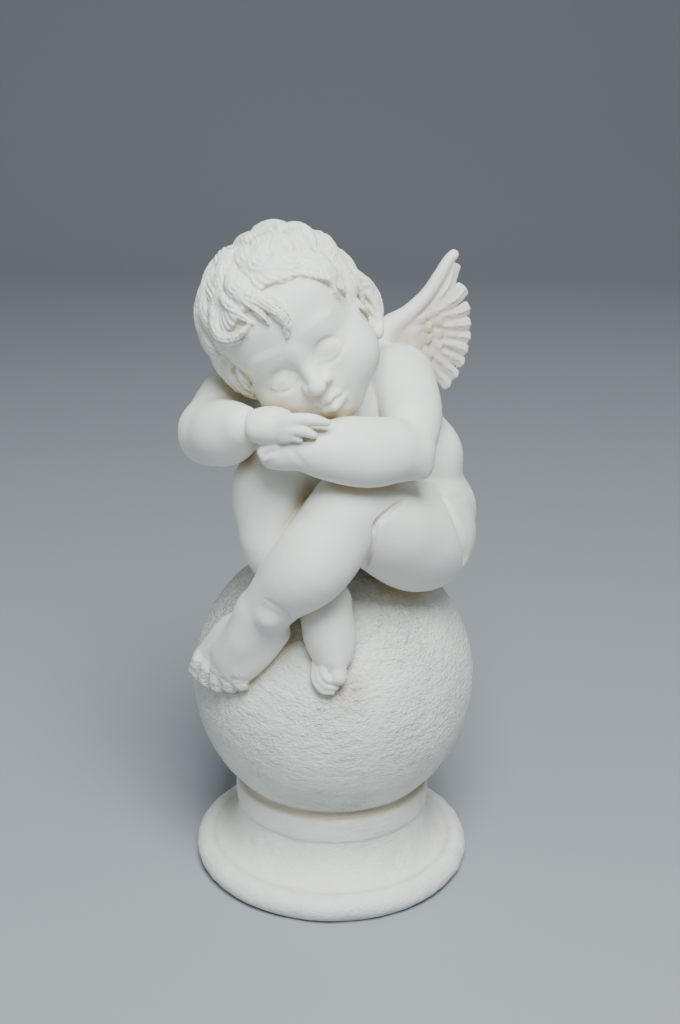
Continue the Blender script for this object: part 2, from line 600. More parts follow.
def ears(clay):
    """Small round ears between the height of the brow and the nose, with a rolled rim and a soft lobe."""
    for side in (-1, 1):
        outward = unit(side * FACE_LEFT * 0.86 + FACE_FRONT * 0.5)
        upward = unit(FACE_UP - outward * (FACE_UP @ outward) - 0.12 * FACE_FRONT)
        behind = unit(np.cross(upward, outward)) * side
        behind = behind if behind @ FACE_FRONT < 0 else -behind
        middle = face(32.2 * side, -18.0, -1.0)

        def at(back, up, out):
            return middle + behind * back + upward * up + outward * out

        axes = np.array([outward, upward, behind])
        clay.add(Mass(at(0, 0, 0.5), (3.6, 12.0, 7.6), axes), 1.5)
        clay.cut(Mass(at(-1.2, 1.5, 4.6), (3.4, 8.0, 4.6), axes), 1.0)
        rim = ((-4.6, -1, 2.4), (-5.0, 5, 2.8), (-2.5, 10.5, 3.6), (2.5, 11.2, 4.4), (6.2, 6.5, 4.8),
               (6.6, -1, 4.4), (4.0, -7.5, 3.4), (0.5, -10.5, 3.0))
        clay.add(Limb([at(*spot) for spot in rim], [1.3, 1.7, 1.8, 1.9, 1.9, 1.8, 1.7, 1.9]), 0.6)
        clay.add(Limb([at(2.8, -5, 2.8), at(2.4, 0.5, 3.4), at(0.5, 4.5, 3.2)], [1.1, 1.2, 0.9]), 0.7)
        clay.add(Mass(at(-0.6, -11.2, 1.6), (2.6, 3.6, 3.6), axes), 1.2)


# The scalp's middle and radii in head coordinates, and the ways from there to the crown and the brow
SCALP = np.array([-0.6, 7.4, -8.0])
SCALP_RADII = np.array([37.6, 38.4, 39.4])
TILT = math.radians(25)
CROWN = np.array([0, math.cos(TILT), -math.sin(TILT)])
BROW = np.array([0, math.sin(TILT), math.cos(TILT)])


def scalp_way(polar, around):
    """The way from the scalp's middle, in degrees down from the crown and around from the brow."""
    polar, around = math.radians(polar), math.radians(around)
    return (CROWN * math.cos(polar) + (BROW * math.cos(around) + np.array([1.0, 0, 0]) * math.sin(around))
            * math.sin(polar))


def skin_reach(way):
    """How far the skin is from the middle of the scalp, that way."""
    ahead = way @ HEAD_AXES
    reach = 0.0
    for middle, radii, axes in SKULL:
        off = (axes @ (head(*SCALP) - middle)) / radii
        step = (axes @ ahead) / radii
        b, c = off @ step, off @ off - 1
        inside = b * b - c * (step @ step)
        if inside > 0:
            reach = max(reach, (math.sqrt(inside) - b) / (step @ step))
    return reach


def on_scalp(polar, around, lift):
    """A place over the scalp in head coordinates, with the way out of the scalp there."""
    way = scalp_way(polar, around)
    low = min(1.0, max(0.0, (polar - 38) / 32))
    lift = lift * (0.78 + 0.22 * low)
    out = way * (SCALP_RADII + lift)
    skin = skin_reach(unit(out)) + 1.3 + 0.35 * lift
    return SCALP + unit(out) * max(np.linalg.norm(out), skin), unit(way / SCALP_RADII)


# How far from the crown the hair ends, by degrees around from the brow, the head's right side first
HAIRLINE = ((-180, 124), (-130, 130), (-98, 132), (-86, 122), (-76, 110), (-68, 97), (-58, 90), (-45, 92),
            (-30, 92), (0, 86), (20, 92), (42, 110), (62, 126), (90, 134), (130, 130), (180, 124))


class Cap:
    """The close hair under the locks: a shell over the skull that stops at the hairline."""

    def pieces(self):
        middle = head(*SCALP)
        yield middle - 46, middle + 46, self.distance

    def distance(self, at):
        off = [at[i] - HEAD[i] for i in range(3)]
        inner = [sum(off[i] * axis[i] for i in range(3)) for axis in HEAD_AXES]
        way = [(inner[i] - SCALP[i]) / (SCALP_RADII[i] + 1.2) for i in range(3)]
        size = np.sqrt(way[0] ** 2 + way[1] ** 2 + way[2] ** 2) + 1e-6
        over = sum(way[i] * CROWN[i] for i in range(3)) / size
        ahead = sum(way[i] * BROW[i] for i in range(3))
        polar = np.degrees(np.arccos(np.clip(over, -1, 1)))
        turned = np.degrees(np.arctan2(way[0], ahead))
        # fine strands that wave as they run down from the crown
        wavy = turned + 7 * np.sin(np.radians(polar * 6 + 1.5 * turned)) + 0.22 * polar
        broad = 0.5 + 0.5 * np.cos(np.radians(wavy * 14))
        count = np.where(polar > 55, 50, np.where(polar > 26, 30, 14))
        thin = np.abs(np.sin(np.radians(wavy * count)))
        relief = 1.2 * broad + 1.3 * thin
        shell = (size - 1) * 39
        for centre, radii, axes in SKULL:
            part = [sum((at[i] - centre[i]) * axis[i] for i in range(3)) / r for axis, r in zip(axes, radii)]
            over_skin = (np.sqrt(part[0] ** 2 + part[1] ** 2 + part[2] ** 2) - 1) * min(radii)
            shell = np.minimum(shell, over_skin - 1.0)
        shell = shell - relief
        edge = np.interp(turned, *np.transpose(HAIRLINE))
        rim = (polar - edge) * 0.68
        return -soft_min(-shell, -rim, 1.5).astype(np.float32)


def lock(clay, knots, width, thick, count, seed):
    """One lock, rooted in the hair under it, along knots of (polar, around, lift) or (left, up, front, 0)."""
    rng = np.random.default_rng(seed)
    spots = []
    for knot in knots:
        if len(knot) == 3:
            spots.append(on_scalp(*knot))
        else:
            spot = np.array(knot[:3], float)
            spots.append((spot, unit((spot - SCALP) / SCALP_RADII ** 2)))
    rows = smooth_path(np.column_stack([[s[0] for s in spots], [s[1] for s in spots]]), 6)
    path, out = rows[:, :3], rows[:, 3:6]
    lifts = smooth_path(np.array([[knot[2] if len(knot) == 3 else 2.0] for knot in knots], float), 6)[:, 0]
    lifts = np.maximum(lifts, 0)
    run = np.concatenate([[0], np.cumsum(np.linalg.norm(np.diff(path, axis=0), axis=1))])
    share = run / run[-1]
    shape = np.clip(np.minimum(1, 0.55 + 1.8 * share) * np.sqrt(np.clip(1 - share ** 2.6, 0, 1)), 0.13, 1)
    deep = np.maximum((thick + 0.45 * lifts) * shape, 0.7)
    core = path - out * (0.45 * lifts + 0.2)[:, None]
    clay.add(Lock(np.array([head(*p) for p in core]), out @ HEAD_AXES, width * shape, deep,
                  count, STRAND_DEPTH, rng.uniform(0.4, 0.7), rng.uniform(0, 6.28)), 0.4)


# Locks that frame the face: half width, thickness, strands, then knots of polar, around and lift on the scalp
FRAMING = (
    (6.5, 3.0, 4, (80, -92, 0), (94, -94, 3), (108, -95, 4), (118, -96, 3), (126, -92, 1)),
    (6.5, 3.4, 4, (-37, 22, -14, 0), (-41, 11, -14, 0), (-43, 0, -15, 0), (-43, -10, -14, 0),
     (-39, -20, -10, 0)),
    (6.5, 3.4, 4, (-36, 24, -3, 0), (-39.5, 14, -5, 0), (-43, 5, -4, 0), (-43.5, -5, 0, 0), (-44, -13, 1, 0)),
    (5.5, 3.2, 3, (-36, 12, 3, 0), (-39.5, 3, 5, 0), (-41, -6, 4, 0), (-39.5, -14, 7, 0), (-36, -21, 8, 0)),
    (3.2, 2.2, 2, (-34, 5, 13, 0), (-37, -3, 13, 0), (-37.5, -10, 12, 0), (-35, -16, 14, 0)),
    (5.0, 3.2, 4, (31, 18, 8, 0), (36, 9, 8, 0), (38, 0, 9, 0), (37.5, -8, 8, 0), (35, -13, 9, 0)),
    (6.0, 3.4, 4, (33, 20, -4, 0), (38, 9, -3, 0), (39.5, -1, -4, 0), (38.5, -11, -3, 0), (35, -19, -4, 0)),
    (5.5, 3.6, 4, (36, 8, 3, 0), (41, -1, 1, 0), (43.5, -9, -1, 0), (42.5, -16, -1, 0), (39, -22, 1, 0)),
    (5.0, 3.4, 4, (37, 4, -8, 0), (42, -5, -8, 0), (44, -14, -8, 0), (42, -23, -7, 0), (38, -30, -6, 0)),
    (5.0, 2.6, 4, (96, -96, 1), (110, -100, 4), (122, -99, 4), (131, -92, 2)),
    (4.0, 2.4, 3, (80, -72, 2), (90, -78, 4), (100, -84, 4), (111, -86, 2)),
    (7.5, 3.2, 5, (44, -84, 1), (60, -90, 4), (76, -90, 5), (90, -92, 4), (102, -88, 2)),
    (7.5, 3.2, 5, (20, -50, 0), (36, -70, 3), (54, -78, 5), (70, -78, 5), (86, -76, 3), (98, -72, 1)),
    (7.0, 3.2, 5, (24, -20, 1), (38, -40, 4), (54, -52, 5), (68, -58, 5), (80, -58, 4), (91, -53, 1)),
    (4.6, 3.0, 4, (58, -34, 2), (74, -43, 4.5), (87, -45, 5), (95, -40, 5), (98, -30, 4), (97, -20, 2.5)),
    (7.0, 3.2, 5, (22, 4, 1), (38, -14, 4), (54, -26, 5), (68, -33, 5), (78, -36, 3)),
    (4.0, 2.6, 3, (60, -30, 4), (76, -27, 5), (88, -23, 5), (99, -19, 3)),
    (3.6, 2.6, 3, (66, -20, 4), (82, -16, 5.5), (94, -12, 5), (105, -12, 3)),
    (5.5, 3.2, 5, (46, -8, 3), (62, -17, 5), (76, -17, 5.5), (88, -10, 5), (98, -4, 4), (108, -3, 3.5),
     (118, -9, 2)),
    (5.5, 3.0, 4, (48, 14, 3), (64, 4, 5), (77, 7, 5), (86, 20, 4.5), (90, 32, 3)),
    (6.5, 3.0, 5, (34, 40, 3), (50, 21, 5), (64, 10, 5), (76, 6, 4.5), (86, 8, 3.5), (91, 16, 2)),
    (6.0, 3.0, 4, (36, 54, 3), (54, 33, 5), (67, 23, 5), (76, 28, 4.5), (83, 40, 3)),
    (4.5, 2.6, 4, (72, 54, 2), (84, 49, 4), (96, 48, 4), (107, 52, 3), (118, 58, 1)),
    (6.5, 3.2, 5, (44, 64, 3), (62, 47, 6), (76, 39, 6), (89, 37, 5), (100, 37, 3.5), (110, 40, 1.5)),
    (2.0, 1.6, 2, (100, 38, 2.5), (110, 38, 2.5), (119, 41, 2), (128, 46, 1)),
    (3.6, 2.2, 3, (102, 58, 1), (114, 56, 2.5), (126, 58, 2), (138, 63, 0.5)),
    (7.0, 3.8, 4, (62, 110, 1), (80, 96, 4), (95, 86, 5), (108, 82, 4.5), (119, 84, 3)),
    (7.0, 3.8, 4, (42, 106, 2), (58, 90, 4.5), (72, 78, 5.5), (83, 68, 5), (92, 60, 3)),
    (7.0, 3.8, 4, (26, 100, 2), (42, 80, 5), (56, 68, 6.5), (68, 58, 5.5), (78, 50, 3)),
    (7.0, 3.4, 4, (14, 80, 3), (28, 68, 7), (42, 60, 8), (56, 48, 5.5)),
)


# How a lock of the rows runs: its share of the way, its swing to one side and its lift over the scalp
LOCK_WAVE = ((0, 0, 0), (0.2, 0.7, 2.6), (0.45, 1.0, 4.0), (0.7, 0.1, 4.2), (0.88, -0.3, 2.4), (1, 0.3, 0.3))


def hair(cell):
    """Locks in rows round the crown, each lapping over the next, and the hair that frames the face."""
    clay = Clay(*HEAD_BOX, cell)
    clay.add(Cap(), 0)
    clay.add(Mass(head(-34, 0, -4), (8.5, 19, 13), HEAD_AXES), 2)
    number = 0
    rows = ((88, 128, 13, 6.6, 3.0), (60, 104, 12, 7.4, 3.2), (34, 80, 10, 7.6, 3.4), (6, 52, 8, 7.0, 3.4))
    for row, (start, end, count, width, thick) in enumerate(rows):
        for step in range(count):
            around = -180 + 360 * (step + 0.5 * (row % 2)) / count
            number += 1
            stop = end
            if -95 < around < 105:
                stop = min(end, np.interp(around, *np.transpose(HAIRLINE)) - 4)
                if stop < start + 14:
                    continue
            bend = (1 if (step + row) % 2 else -1) * 1400 / (start + end) ** 1.35
            knots = []
            for share, swing, lift in LOCK_WAVE:
                knots.append((start + (stop - start) * share, around + bend * swing, lift))
            lock(clay, knots, width, thick, 5, number)
    for width, thick, count, *knots in FRAMING:
        number += 1
        lock(clay, knots, width, thick, count, number)
    return clay


WING_SWEEP = math.radians(46)

# The long feathers from the top one down: root and tip as out and up from the wing's root, and half width
FEATHERS = (((21, 25.5), (41.4, 56.6), 5.6), ((26, 27), (49.4, 41.0), 5.2), ((31, 24.5), (53.0, 27.5), 4.5),
            ((33.5, 18.6), (53.4, 17.9), 4.1), ((34, 13.2), (53.6, 9.3), 3.9),
            ((33.5, 8.6), (51.6, 1.4), 3.7), ((31.5, 4.2), (49.6, -6.2), 3.8),
            ((27.5, 1.2), (45.0, -13.6), 3.7), ((22, -0.5), (40.2, -19.4), 3.7))

# Short feathers in the hollow at the root of the long ones: place, then the way that they lie in degrees
COVERTS = ((27.5, 27.5, 28), (31.0, 20.8, -12), (31.0, 13.6, -18), (31.5, 7.0, -40), (25.0, 1.8, -42),
           (24.0, 18.2, -10), (19.5, 23.6, 8), (23.8, 11.4, -30), (17.6, 9.6, -40), (15.8, 17.2, -8))


def wing(clay, side):
    """A raised wing: long feathers with grooved faces, short ones in the hollow, and a thick leading edge."""
    out = LEFT * side * math.cos(WING_SWEEP) + BACK * math.sin(WING_SWEEP)
    face = unit(np.cross(out, UP)) * side
    root = np.array([8, 24, 306]) + LEFT * 22 * side

    def spot(along, above, lift=0.0):
        return root + out * along + UP * above + face * lift

    def flat(points, widths, thicks, lift=0.0):
        return Ribbon([spot(*point, lift) for point in points], widths, thicks, [face] * len(points), 6)

    web = [(14, 12), (28, 27), (37, 42)], [(14, 12), (34, 15), (42, 15)], [(14, 10), (28, 1), (34, -7)]
    for points in web:
        clay.add(flat(points, [11, 10, 7], [2.4, 2.2, 1.8]), 2)
    for number in range(len(FEATHERS) - 1, -1, -1):
        start, end, half = FEATHERS[number]
        start, end = np.array(start, float), np.array(end, float)
        way = unit(end - start)
        across = np.array([way[1], -way[0]])
        # the top feathers bend upward
        sag = (3.2, 2.0, 1.0, 0.4)[number] if number < 4 else -0.4
        middle = (start + end) / 2 + across * sag
        lift = 0.5 * (number % 2)
        tip = end - way * (half - 0.6)
        widths = half * 0.5, half * 0.86, half
        clay.add(flat([start - way * 3, middle, tip], widths, [1.9, 2.3, 1.8], lift), 0.35)
        for skin in (1, -1):
            rib = [spot(*(start - way * 2), lift + 1.6 * skin), spot(*middle, lift + 2.2 * skin),
                   spot(*(tip + way * 1.2), lift + 1.5 * skin)]
            clay.add(Limb(rib, [0.9, 0.8, 0.55]), 0.8)
            for k in (-1.3, -0.62, 0.62, 1.3):
                groove = [spot(*(start + way * 7 + across * k * half * 0.22), lift + 2.7 * skin),
                          spot(*(middle + way * 2 + across * k * half * 0.46), lift + 2.5 * skin),
                          spot(*(tip + way * 0.8 + across * k * half * 0.50), lift + 2.1 * skin)]
                clay.cut(Limb(groove, [0.35, 0.6, 0.5]), 0.8)
    # the hollow, its short feathers, and the thick leading edge
    for skin in (1, -1):
        clay.cut(Mass(spot(22, 13.5, 6.6 * skin), (13, 11.5, 4.4), np.array([out, UP, face])), 3)
        for along, above, degrees in COVERTS:
            way = np.array([math.cos(math.radians(degrees)), math.sin(math.radians(degrees))])
            end = np.array([along, above])
            lift = (1.9 + 0.05 * (33 - along)) * skin
            clay.add(flat([end - way * 6, end], [2.0, 3.0], [1.0, 1.5], lift), 0.5)
            quill = [spot(*(end - way * 4.5), lift + 1.5 * skin), spot(*(end + way * 1.5), lift + 1.7 * skin)]
            clay.cut(Limb(quill, [0.3, 0.4]), 0.6)
    edge = (-8, 6), (-2, 19.5), (11, 27), (22.5, 36.6), (29.5, 45.8), (36, 55.5), (39, 58.2)
    clay.add(Limb([spot(*point) for point in edge], [8, 6.4, 4.9, 4.0, 3.7, 3.2, 3.0]), 1.2)
    clay.add(Mass(spot(6, 8), (15, 15, 5), np.array([out, UP, face])), 4)
    clay.add(Limb([spot(-10, -6, -2), spot(6, 3)], [10, 6.5]), 6)
    clay.add(Limb([spot(2, 0), spot(14, 1), spot(24, -6)], [5.5, 4.0, 3.0]), 4)


def wings(cell):
    """The left wing and its mirror image."""
    clay = Clay((-100, 0, 250), (110, 115, 392), cell)
    for side in (1, -1):
        wing(clay, side)
    return clay


# Ball and plinth, as in part.py
SEAT = math.radians(40)
COLLAR_WALL, COLLAR_HEIGHT, COLLAR_STEP = 5.25, 17.8, 1.9
SKIRT_HEIGHT, SKIRT_FLARE, RIM_WIDTH, RIM_HEIGHT = 23.6, 15.0, 11.3, 15.5
COLLAR_RADIUS = BALL_RADIUS * math.sin(SEAT) + COLLAR_WALL
NECK_RADIUS = COLLAR_RADIUS - COLLAR_STEP
GROOVE_RADIUS = NECK_RADIUS + SKIRT_FLARE
PLINTH_RADIUS = GROOVE_RADIUS + RIM_WIDTH
GROOVE_HEIGHT = 0.94 * RIM_HEIGHT
NECK_HEIGHT = GROOVE_HEIGHT + SKIRT_HEIGHT


class Turned:
    """A turned body: how far a point is from an outline of radius and height, closed on the axis."""

    def __init__(self, outline):
        self.outline = np.array(outline, float)

    def pieces(self):
        wide, tall = self.outline.max(0)
        low = self.outline[:, 1].min()
        yield np.array([-wide, -wide, low]), np.array([wide, wide, tall]), self.distance

    def distance(self, at):
        radius = np.sqrt(at[0] ** 2 + at[1] ** 2)[:, :, 0]
        height = at[2][0, 0]
        # worked out once over radius and height, then read back for every cell
        step = 0.25
        rs = np.arange(0, radius.max() + 2 * step, step)
        r, z = np.meshgrid(rs, height, indexing="ij")
        best = np.full(r.shape, 1e9)
        inside = np.zeros(r.shape, bool)
        shape = self.outline
        for a, b in zip(shape, np.roll(shape, -1, axis=0)):
            ab = b - a
            if a[0] == 0 and b[0] == 0:
                continue
            share = np.clip(((r - a[0]) * ab[0] + (z - a[1]) * ab[1]) / (ab @ ab), 0, 1)
            best = np.minimum(best, np.hypot(r - a[0] - share * ab[0], z - a[1] - share * ab[1]))
            crosses = (a[1] > z) != (b[1] > z)
            with np.errstate(divide="ignore", invalid="ignore"):
                edge = a[0] + (z - a[1]) / (b[1] - a[1] if b[1] != a[1] else 1e-9) * ab[0]
            inside ^= crosses & (r < edge)
        signed = np.where(inside, -best, best).astype(np.float32)
        place = radius / step
        low = place.astype(int)
        part = (place - low)[:, :, None].astype(np.float32)
        return signed[low] * (1 - part) + signed[low + 1] * part


def arc(middle, height, radius, first, last, steps):
    """Places of radius and height along an arc, from its first angle to its last one in degrees."""
    angles = np.radians(np.linspace(first, last, steps + 1))
    return [(middle + radius * math.cos(a), height + radius * math.sin(a)) for a in angles]


def plinth_outline():
    """Down the outer side: the ball's seat, the collar, the hollow skirt, the round rim and the underside."""
    seat = COLLAR_RADIUS - COLLAR_WALL
    band = COLLAR_HEIGHT
    top = NECK_HEIGHT + band
    shoulder = 2.6
    collar = [(0, top - 1.5), (seat - 3, top - 1.5), (seat + 0.5, top - 1.2)]
    collar += arc(COLLAR_RADIUS - shoulder, NECK_HEIGHT + 0.84 * band - shoulder + 0.6, shoulder, 90, 0, 6)
    collar += [(COLLAR_RADIUS, NECK_HEIGHT + 0.3 * band), (COLLAR_RADIUS - 0.5, NECK_HEIGHT + 0.1 * band),
               (NECK_RADIUS, NECK_HEIGHT)]
    skirt = []
    for step in range(1, 17):
        angle = math.radians(90 * step / 16)
        skirt.append((NECK_RADIUS + SKIRT_FLARE * (1 - math.cos(angle)),
                      NECK_HEIGHT - SKIRT_HEIGHT * math.sin(angle)))
    half = RIM_HEIGHT / 2
    rim = arc(PLINTH_RADIUS - half, half, half, 112, -86, 24)
    return collar + skirt + rim + [(PLINTH_RADIUS - half, 0), (0, 0)]


def folds(clay):
    """The fold over the left hip and the edge where the left thigh lies against it."""
    clay.cut(Limb([(55, -29, 248.5), (58.5, -32, 246.8), (62, -33.5, 244.4), (66.5, -28, 241.8),
                   (71.5, -18.5, 239.5), (75.5, -2, 241), (74, 14, 246), (65, 30, 251)],
                  [0.4, 1.0, 1.3, 1.4, 1.4, 1.3, 1.0, 0.4]), 2.0)
    clay.cut(Limb([(58.5, -40.5, 245.5), (63.2, -47.3, 239), (66.8, -49, 230.7), (69.9, -47.1, 221),
                   (71.6, -41.7, 210.6)], [0.5, 1.2, 1.4, 1.2, 0.4]), 5.0)


def modelled(cell):
    """The ball on its plinth, and the figure on the ball, in one block of clay."""
    whole = Clay((-92, -112, -4), (92, 92, 403), cell)
    whole.add(Turned(plinth_outline()), 0)
    whole.add(Mass(BALL, [BALL_RADIUS] * 3), 3.2)
    figure = Clay((-105, -125, 120), (100, 92, 403), cell)
    figure.merge(trunk(cell))
    figure.merge(legs(cell), 3)
    figure.merge(arms(cell), 1.5)
    figure.merge(wings(cell), 3)
    folds(figure)
    figure.merge(head_clay(cell), 1.0)
    figure.merge(hair(cell), 0.3)
    whole.merge(figure, 1.5)
    return whole


def coarse_noise(points, scale, seed):
    """Smooth noise from -1 to 1 at each point, with this many millimetres a wave."""
    shift = Vector((seed * 17.3, seed * 5.1, seed * 9.7))
    scale = np.asarray(scale, float) * np.ones(3)
    return np.array([noise.noise(Vector(p) + shift) for p in points / scale])


def toe_wear(points):
    """How worn each point is: 1 at the stubs of the left foot's toes, 0 away from them."""
    far = np.full(len(points), FAR)
    for start, end, half in STUBS:
        start, end = np.array(start), np.array(end)
        way = end - start
        share = np.clip((points - start) @ way / (way @ way), 0.25, 1)
        far = np.minimum(far, np.linalg.norm(points - start - share[:, None] * way, axis=1) - half)
    return np.clip(1 - far / 2.5, 0, 1)


def roughened(points, normals):
    """The crackled skin of the ball, the brushed skin of the plinth and the worn toes, as shifted points."""
    out = points.copy()
    from_ball = points - BALL
    radius = np.linalg.norm(from_ball, axis=1)
    on_ball = (np.abs(radius - BALL_RADIUS) < 0.5) & (points[:, 2] > NECK_HEIGHT + 0.9 * COLLAR_HEIGHT)
    spot = points[on_ball]
    rise = 0.30 * coarse_noise(spot, (10, 10, 6), 4) + 0.12 * coarse_noise(spot, (4.5, 4.5, 2.2), 2)
    out[on_ball] += normals[on_ball] * (rise - 0.35)[:, None]
    on_plinth = (points[:, 2] < NECK_HEIGHT + 0.84 * COLLAR_HEIGHT) & (points[:, 2] > 1.2)
    spot = points[on_plinth]
    around = np.degrees(np.arctan2(spot[:, 1], spot[:, 0]))
    flat = np.column_stack([around * 1.1, np.zeros(len(spot)), spot[:, 2]])
    streaks = coarse_noise(flat, (4.5, 1, 12), 5)
    dents = coarse_noise(spot, 9, 6)
    out[on_plinth] += normals[on_plinth] * (0.24 * streaks + 0.42 * dents - 0.30)[:, None]
    near = toe_wear(points)
    toes = near > 0
    spot = points[toes]
    chips = coarse_noise(spot, 3.6, 7) + 0.7 * coarse_noise(spot, 1.9, 8)
    out[toes] += normals[toes] * (0.8 * near[toes] * chips)[:, None]
    return out


def vertex_normals(points, quads):
    """Unit normals of a closed quad mesh, at its points."""
    across = np.cross(points[quads[:, 2]] - points[quads[:, 0]], points[quads[:, 3]] - points[quads[:, 1]])
    normals = np.zeros_like(points)
    for corner in range(4):
        np.add.at(normals, quads[:, corner], across)
    return normals / np.maximum(np.linalg.norm(normals, axis=1), 1e-9)[:, None]


def hollowness(clay, points, normals):
    """How deep each point lies in a hollow, from 0 on open skin to 1, read from the distances around it."""
    total = np.zeros(len(points))
    for reach, weight in ((1.5, 0.32), (3.5, 0.30), (8.0, 0.23), (12.5, 0.15)):
        at = (points + normals * reach - clay.low) / clay.cell
        nearest = np.clip(np.round(at).astype(int), 0, np.array(clay.field.shape) - 1)
        far = clay.field[tuple(nearest.T)]
        total += weight * np.clip(1 - far / reach, 0, 1.5)
    return np.clip(total, 0, 1)


# Tan stains: the middle of each, how far it reaches and how strong it is
STAINS = (((9, -79, 151), (8, 9, 9), 1.3), ((8, -54, 194), (12, 22, 7), 0.5),
          ((42, 22, 316), (18, 18, 16), 1.0), ((60, 34, 322), (24, 20, 34), 0.65),
          ((-19, 45, 316), (18, 18, 16), 1.0), ((-28, 65, 322), (24, 20, 34), 0.65),
          (head(37, 2, 2), (15, 15, 22), 0.5))


def stained(points):
    """How yellowed each point is, from 0 to 1: spots of tan, and the ring where the ball meets its collar."""
    total = np.zeros(len(points))
    for middle, reach, strength in STAINS:
        total += strength * np.exp(-(((points - middle) / reach) ** 2).sum(1))
    ring = np.exp(-((points[:, 2] - NECK_HEIGHT - COLLAR_HEIGHT) / 4.5) ** 2)
    groove = np.exp(-((np.hypot(points[:, 0], points[:, 1]) - GROOVE_RADIUS) / 1.6) ** 2)
    groove *= points[:, 2] < GROOVE_HEIGHT + 4
    return np.clip(total + 0.3 * ring + 0.6 * groove, 0, 1)


def roughness(points):
    """How rough the skin is at each point, from 0 to 1: the ball, less so the plinth, and the worn toes."""
    ball = np.exp(-((np.linalg.norm(points - BALL, axis=1) - BALL_RADIUS) / 1.2) ** 2)
    worn_rim = np.clip(1.2 - points[:, 2] / 9, 0, 0.5)
    rough = np.where(points[:, 2] < NECK_HEIGHT + COLLAR_HEIGHT, 0.32 + 0.4 * worn_rim, ball)
    return np.maximum(rough, 0.8 * toe_wear(points))


def statue_mesh():
    """The whole statue as one closed mesh, thinned to the triangles that a piece may have."""
    clay = modelled(CELL)
    points, quads = surface(clay)
    points = roughened(points, vertex_normals(points, quads))
    points[:, 2] = np.maximum(points[:, 2], 0.0)
    mesh = bpy.data.meshes.new(NODE + "_cast")
    mesh.vertices.add(len(points))
    mesh.vertices.foreach_set("co", (points * MM).astype(np.float32).ravel())
    mesh.loops.add(len(quads) * 4)
    mesh.loops.foreach_set("vertex_index", quads.astype(np.int32).ravel())
    mesh.polygons.add(len(quads))
    mesh.polygons.foreach_set("loop_start", np.arange(len(quads), dtype=np.int32) * 4)
    mesh.update(calc_edges=True)
    return mesh, clay


def drop_crumbs(mesh):
    """Deletes every loose body of a mesh but the largest."""
    work = bmesh.new()
    work.from_mesh(mesh)
    left = set(work.verts)
    bodies = []
    while left:
        body = set()
        edge = {left.pop()}
        while edge:
            body |= edge
            edge = {link.other_vert(vert) for vert in edge for link in vert.link_edges} - body
        left -= body
        bodies.append(body)
    bodies.sort(key=len)
    bmesh.ops.delete(work, geom=[vert for body in bodies[:-1] for vert in body], context="VERTS")
    work.to_mesh(mesh)
    work.free()


def cast_statue():
    """The statue's piece: thinned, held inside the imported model's box and marked where its skin differs."""
    mesh, clay = statue_mesh()
    piece = bpy.data.objects.new(NODE + "_cast", mesh)
    bpy.context.scene.collection.objects.link(piece)
    thin = piece.modifiers.new("thin", "DECIMATE")
    thin.ratio = min(1.0, PIECE_TRIANGLES / (2 * len(mesh.polygons)))
    thin.use_collapse_triangulate = True
    graph = bpy.context.evaluated_depsgraph_get()
    piece.data = bpy.data.meshes.new_from_object(piece.evaluated_get(graph))
    piece.modifiers.clear()
    bpy.data.meshes.remove(mesh)
    mesh = piece.data
    drop_crumbs(mesh)
    mesh.shade_smooth()
    count = len(mesh.vertices)
    points, normals = np.empty(count * 3, np.float32), np.empty(count * 3, np.float32)
    mesh.vertices.foreach_get("co", points)
    mesh.vertices.foreach_get("normal", normals)
    points, normals = points.reshape(-1, 3), normals.reshape(-1, 3)
    points = np.clip(points, *np.array(CAD_BOX, np.float32))
    mesh.vertices.foreach_set("co", points.ravel())
    points = points / MM
    marks = {"hollow": hollowness(clay, points, normals), "rough_skin": roughness(points),
             "stain": stained(points)}
    for name, value in marks.items():
        mesh.attributes.new(name, "FLOAT", "POINT").data.foreach_set("value", value.astype(np.float32))
    mesh.materials.append(cast_stone())
    return piece


class Shader:
    """A material's nodes, added by type and joined by name."""

    def __init__(self, name):
        self.material = bpy.data.materials.new(name)
        self.material.use_nodes = True
        self.tree = self.material.node_tree
        self.principled = self.tree.nodes["Principled BSDF"]

    def node(self, kind, **values):
        made = self.tree.nodes.new("ShaderNode" + kind)
        for name, value in values.items():
            if hasattr(made, name):
                setattr(made, name, value)
            else:
                made.inputs[name.replace("_", " ")].default_value = value
        return made

    def join(self, source, target):
        self.tree.links.new(source, target)


PALE_STONE = (0.765, 0.775, 0.72, 1)
WHITE_STONE = (0.845, 0.86, 0.805, 1)
HOLLOW_CREAM = (0.64, 0.55, 0.38, 1)
STAIN_TAN = (0.62, 0.48, 0.33, 1)


